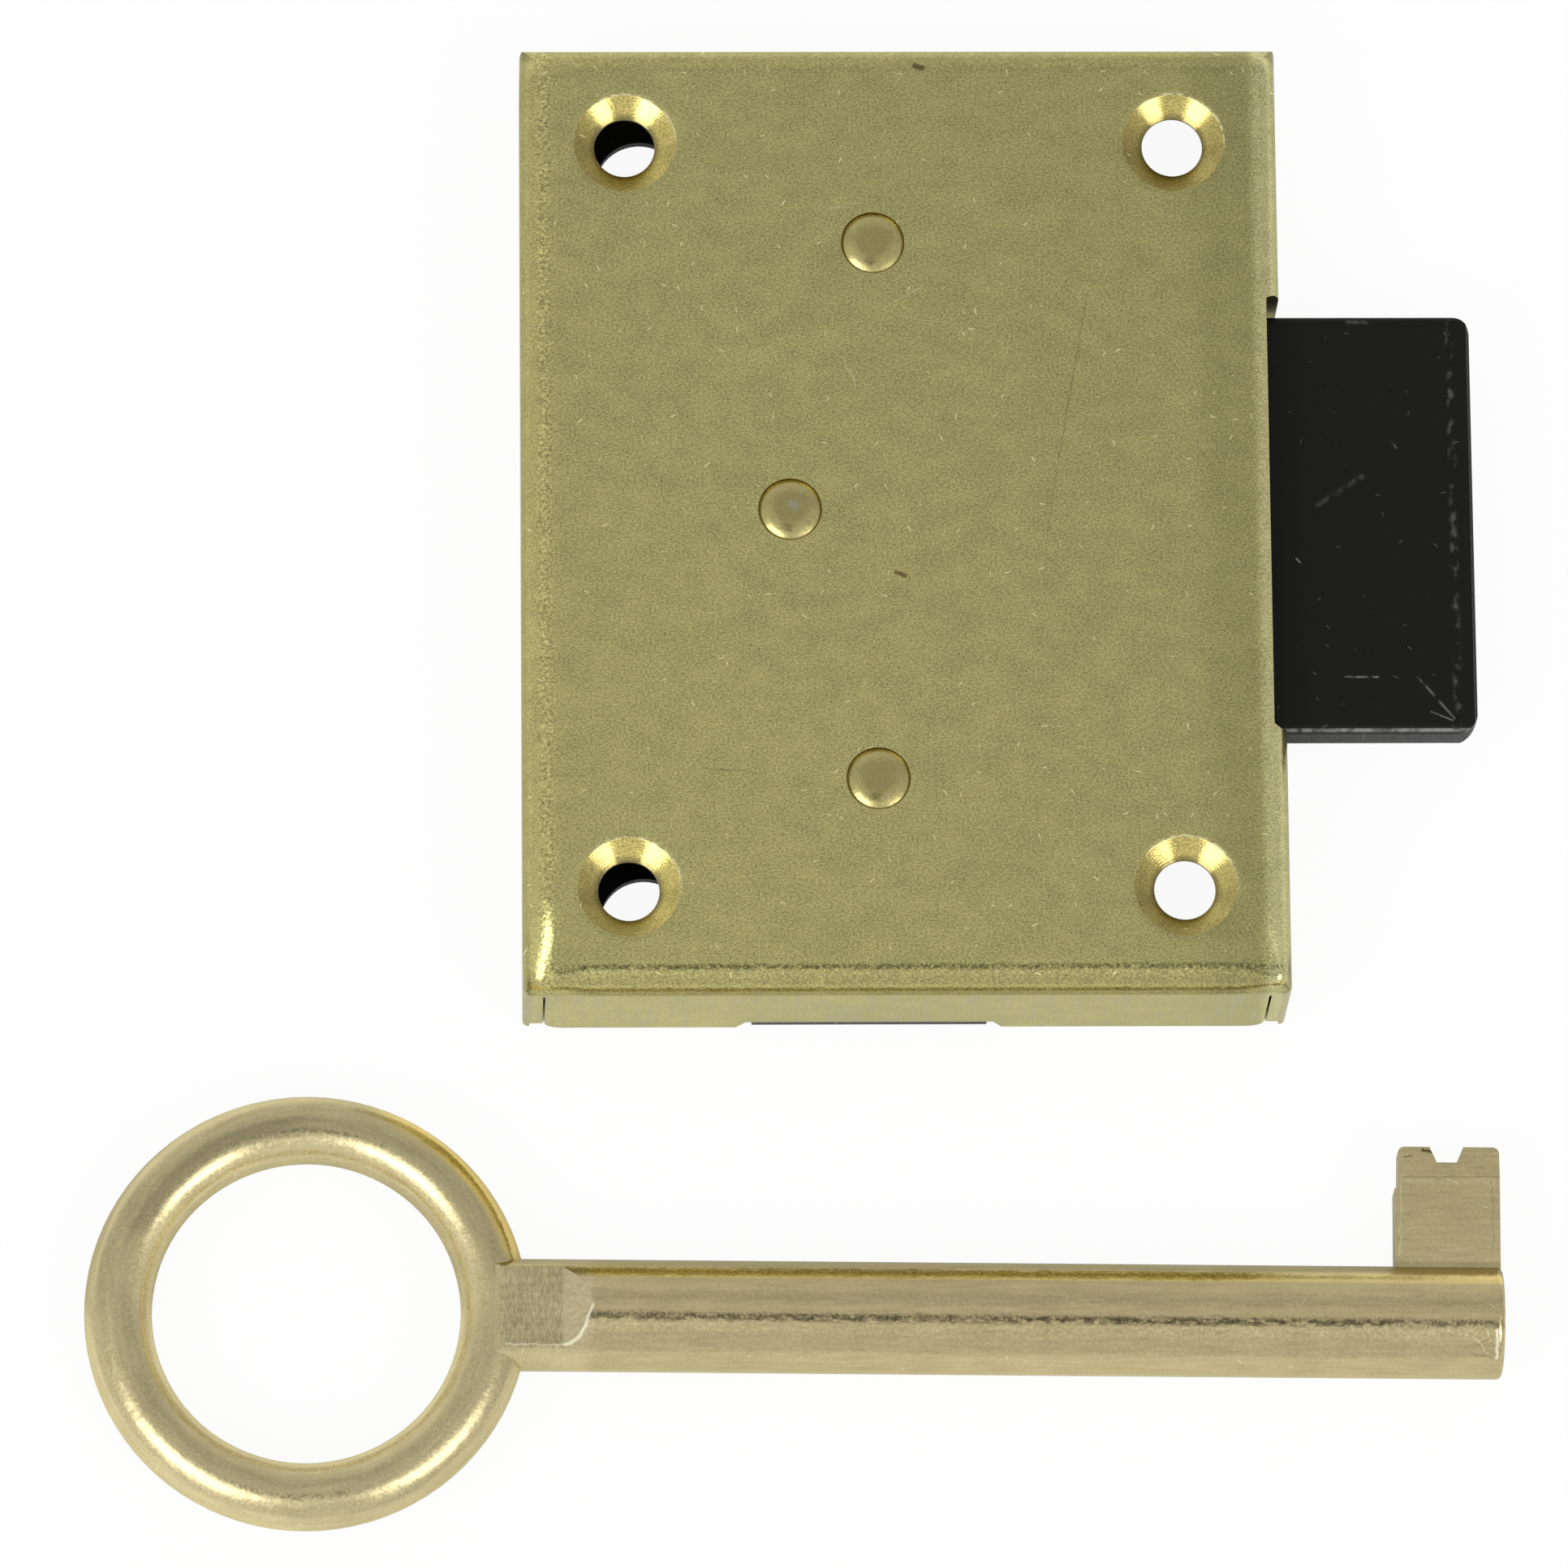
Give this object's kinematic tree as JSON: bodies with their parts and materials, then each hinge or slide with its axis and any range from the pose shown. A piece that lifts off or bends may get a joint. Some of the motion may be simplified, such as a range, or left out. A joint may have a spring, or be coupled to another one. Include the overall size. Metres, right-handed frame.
{
  "type": "cupboard lock",
  "caption": "Straight cupboard lock with a folded brass-plated case, back plate, black sliding bolt, sprung levers and a loose pipe key with a ring bow.",
  "frame": {"origin": "on the key axis, which is the drill pin's axis, in the plane of the case rim that lies on the door", "axes": "+X towards the bolt, +Y up the door, +Z out of the door through the lock's face"},
  "size_m": [0.092, 0.0988, 0.0101],
  "materials": {
    "case_brassed": "brass-plated sheet steel, satin with fine grain and light scratches",
    "plate_black": "black-coated sheet steel",
    "pin_brassed": "brass-plated steel, riveted and dressed flush",
    "post_steel": "plain turned steel",
    "bolt_black": "black-coated steel, worn bright on its edges",
    "lever_brass": "stamped brass sheet",
    "spring_steel": "bare spring steel strip",
    "key_brassed": "pale brass-plated casting, satin"
  },
  "bodies": {
    "case": {"case": "case_brassed", "back_plate": "plate_black", "upper_pillar": "pin_brassed", "lower_pillar": "pin_brassed", "drill_pin": "pin_brassed", "lever_post": "post_steel", "lever_spacer": "lever_brass"},
    "bolt": {"bolt": "bolt_black", "bolt_stump": "post_steel"},
    "front_lever": {"front_lever": "lever_brass", "front_lever_spring": "spring_steel"},
    "rear_lever": {"rear_lever": "lever_brass", "rear_lever_spring": "spring_steel"},
    "key": {"key": "key_brassed"}
  },
  "joints": [
    {"name": "bolt_draw", "type": "slide", "parent": "case", "child": "bolt", "axis": [-1, 0, 0], "range_m": [0, 0.0127]},
    {"name": "front_lever_lift", "type": "hinge", "parent": "case", "child": "front_lever", "pos_m": [-0.0128, 0.0178, 0.0076], "axis": [0, 0, 1], "range_deg": [0, 4.55], "deforming": ["front_lever_spring"]},
    {"name": "rear_lever_lift", "type": "hinge", "parent": "case", "child": "rear_lever", "pos_m": [-0.0128, 0.0178, 0.0023], "axis": [0, 0, 1], "range_deg": [0, 4.55], "deforming": ["rear_lever_spring"]},
    {"name": "key_lift", "type": "slide", "parent": "case", "child": "key", "axis": [0, 0, 1], "range_m": [0, 0.06]}
  ],
  "couplings": [
    {"joint": "front_lever_lift", "follows": "bolt_draw", "rad_per_m": 6.2392},
    {"joint": "rear_lever_lift", "follows": "bolt_draw", "rad_per_m": 6.2392}
  ]
}
